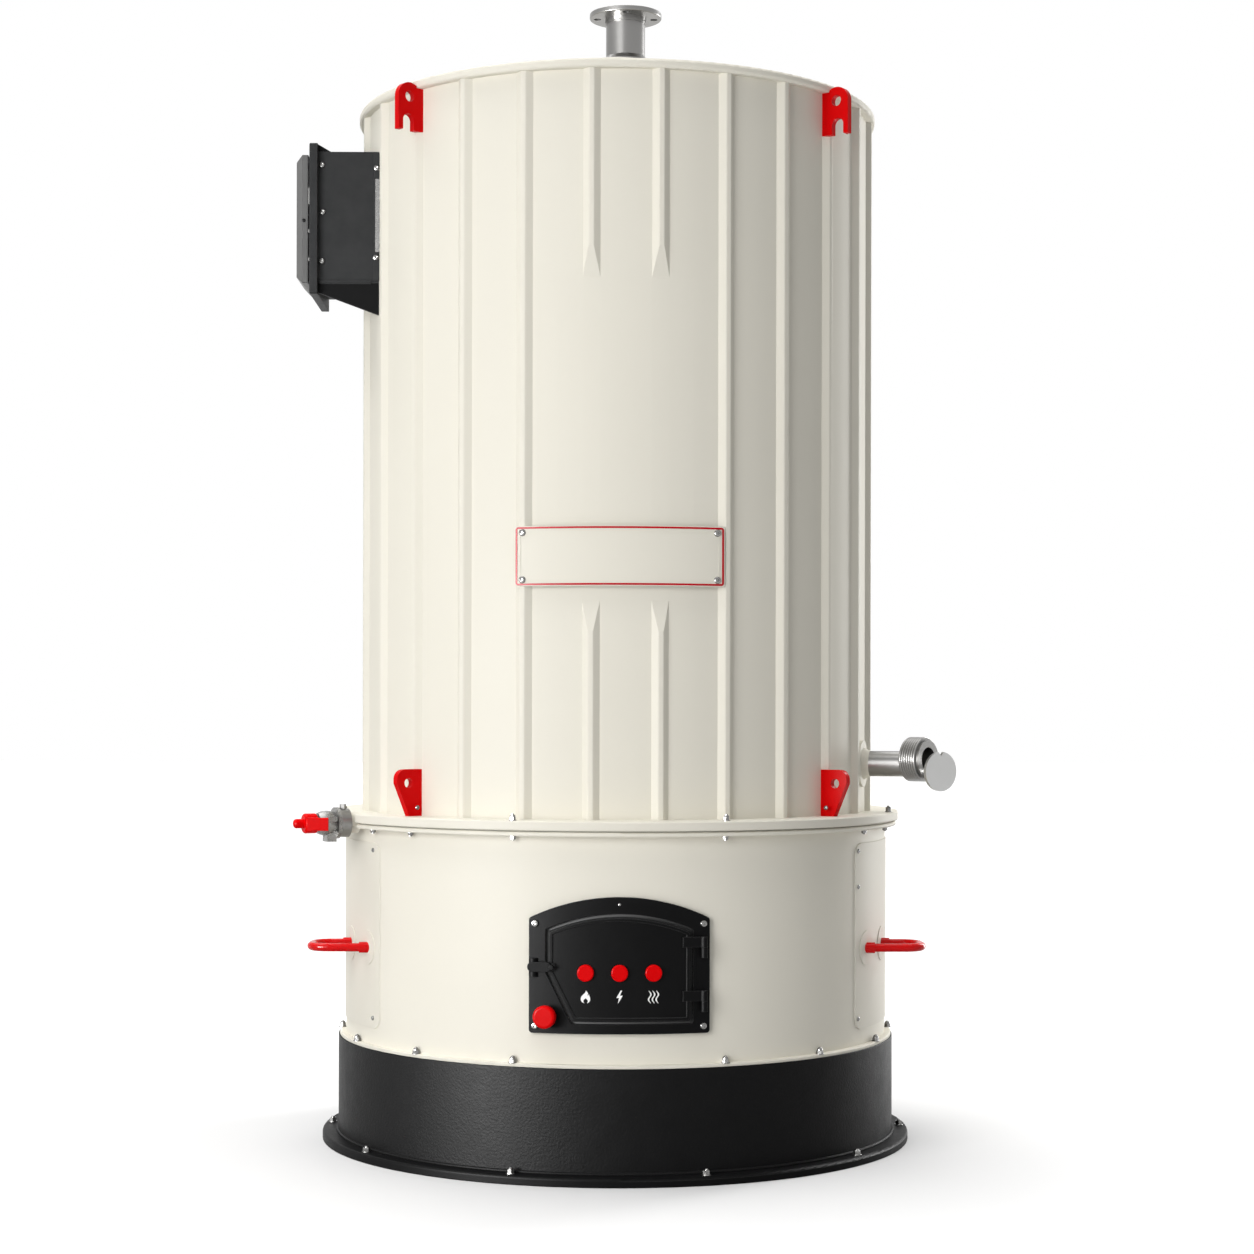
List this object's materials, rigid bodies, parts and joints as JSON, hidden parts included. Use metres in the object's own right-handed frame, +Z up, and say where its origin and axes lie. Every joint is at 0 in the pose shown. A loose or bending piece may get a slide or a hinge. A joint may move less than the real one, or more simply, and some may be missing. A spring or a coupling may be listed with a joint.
{
  "type": "vertical industrial boiler",
  "caption": "Upright round boiler with a ribbed jacket on a firebox drum, a curved fire door, side control box, drain valve, water outlet and a top steam nozzle.",
  "frame": {"origin": "centre of the base flange's underside, on the floor", "axes": "+Z up along the boiler's axis, -Y towards the fire door, +X towards the water outlet"},
  "size_m": [1.2425, 1.134, 2.18],
  "materials": {
    "cream_paint": "satin",
    "black_coat": "textured powder coat",
    "red_paint": "gloss",
    "steel": "brushed",
    "cast_steel": "as cast",
    "seal": "matte",
    "red_plastic": "gloss",
    "black_plastic": "matte"
  },
  "bodies": {
    "boiler": {"hearth_plate": "cream_paint", "drum_front_left": "cream_paint", "drum_front_right": "cream_paint", "drum_left": "cream_paint", "drum_right": "cream_paint", "drum_rear_left": "cream_paint", "drum_rear_right": "cream_paint", "drum_under_door": "cream_paint", "drum_over_door": "cream_paint", "drum_top_ring": "cream_paint", "tube_plate": "cream_paint", "jacket_front": "cream_paint", "jacket_front_right": "cream_paint", "jacket_rear_right": "cream_paint", "jacket_rear_left": "cream_paint", "jacket_front_left": "cream_paint", "lid_rim": "cream_paint", "lid_crown": "cream_paint", "left_access_panel": "cream_paint", "right_access_panel": "cream_paint", "left_handle_pads": "cream_paint", "right_handle_pads": "cream_paint", "drain_boss": "cream_paint", "outlet_pad": "cream_paint", "name_plate": "cream_paint", "base_flange": "black_coat", "base_skirt": "black_coat", "control_box": "black_coat", "control_box_frame": "black_coat", "control_box_cover": "black_coat", "control_box_brackets": "black_coat", "door_frame": "black_coat", "hinge_brackets": "black_coat", "latch_keeper": "black_coat", "upper_lugs": "red_paint", "lower_lugs": "red_paint", "left_handle": "red_paint", "right_handle": "red_paint", "nozzle_neck": "steel", "steam_flange": "steel", "drain_union": "steel", "outlet_pipe": "steel", "outlet_union": "steel", "outlet_cap": "steel", "valve_body": "cast_steel", "flange_gasket": "seal", "stop_collar": "black_plastic"},
    "fire_door": {"fire_door": "black_coat", "door_hinges": "black_coat"},
    "latch_bar": {"latch_bar": "black_coat"},
    "left_button": {"left_button": "red_plastic"},
    "middle_button": {"middle_button": "red_plastic"},
    "right_button": {"right_button": "red_plastic"},
    "stop_button": {"stop_button": "red_plastic"},
    "valve_handle": {"valve_handle": "red_plastic"}
  },
  "joints": [
    {"name": "fire_door_hinge", "type": "hinge", "parent": "boiler", "child": "fire_door", "pos_m": [0.148, -0.51828, 0.363], "axis": [0, 0, 1], "range_deg": [0, 110]},
    {"name": "latch_pivot", "type": "hinge", "parent": "fire_door", "child": "latch_bar", "pos_m": [-0.11815, -0.52927, 0.377], "axis": [0.2179, 0.976, 0], "range_deg": [0, 80]},
    {"name": "left_button_press", "type": "slide", "parent": "fire_door", "child": "left_button", "axis": [0.1099, 0.9939, 0], "range_m": [0, 0.004], "stiffness_N_per_m": 400},
    {"name": "middle_button_press", "type": "slide", "parent": "fire_door", "child": "middle_button", "axis": [0, 1, 0], "range_m": [0, 0.004], "stiffness_N_per_m": 400},
    {"name": "right_button_press", "type": "slide", "parent": "fire_door", "child": "right_button", "axis": [-0.1099, 0.9939, 0], "range_m": [0, 0.004], "stiffness_N_per_m": 400},
    {"name": "stop_button_press", "type": "slide", "parent": "boiler", "child": "stop_button", "axis": [0.2373, 0.9714, 0], "range_m": [0, 0.004], "stiffness_N_per_m": 400},
    {"name": "drain_valve_turn", "type": "hinge", "parent": "boiler", "child": "valve_handle", "pos_m": [-0.55556, -0.26143, 0.613], "axis": [-0.9048, -0.4258, 0], "range_deg": [0, 90]}
  ]
}
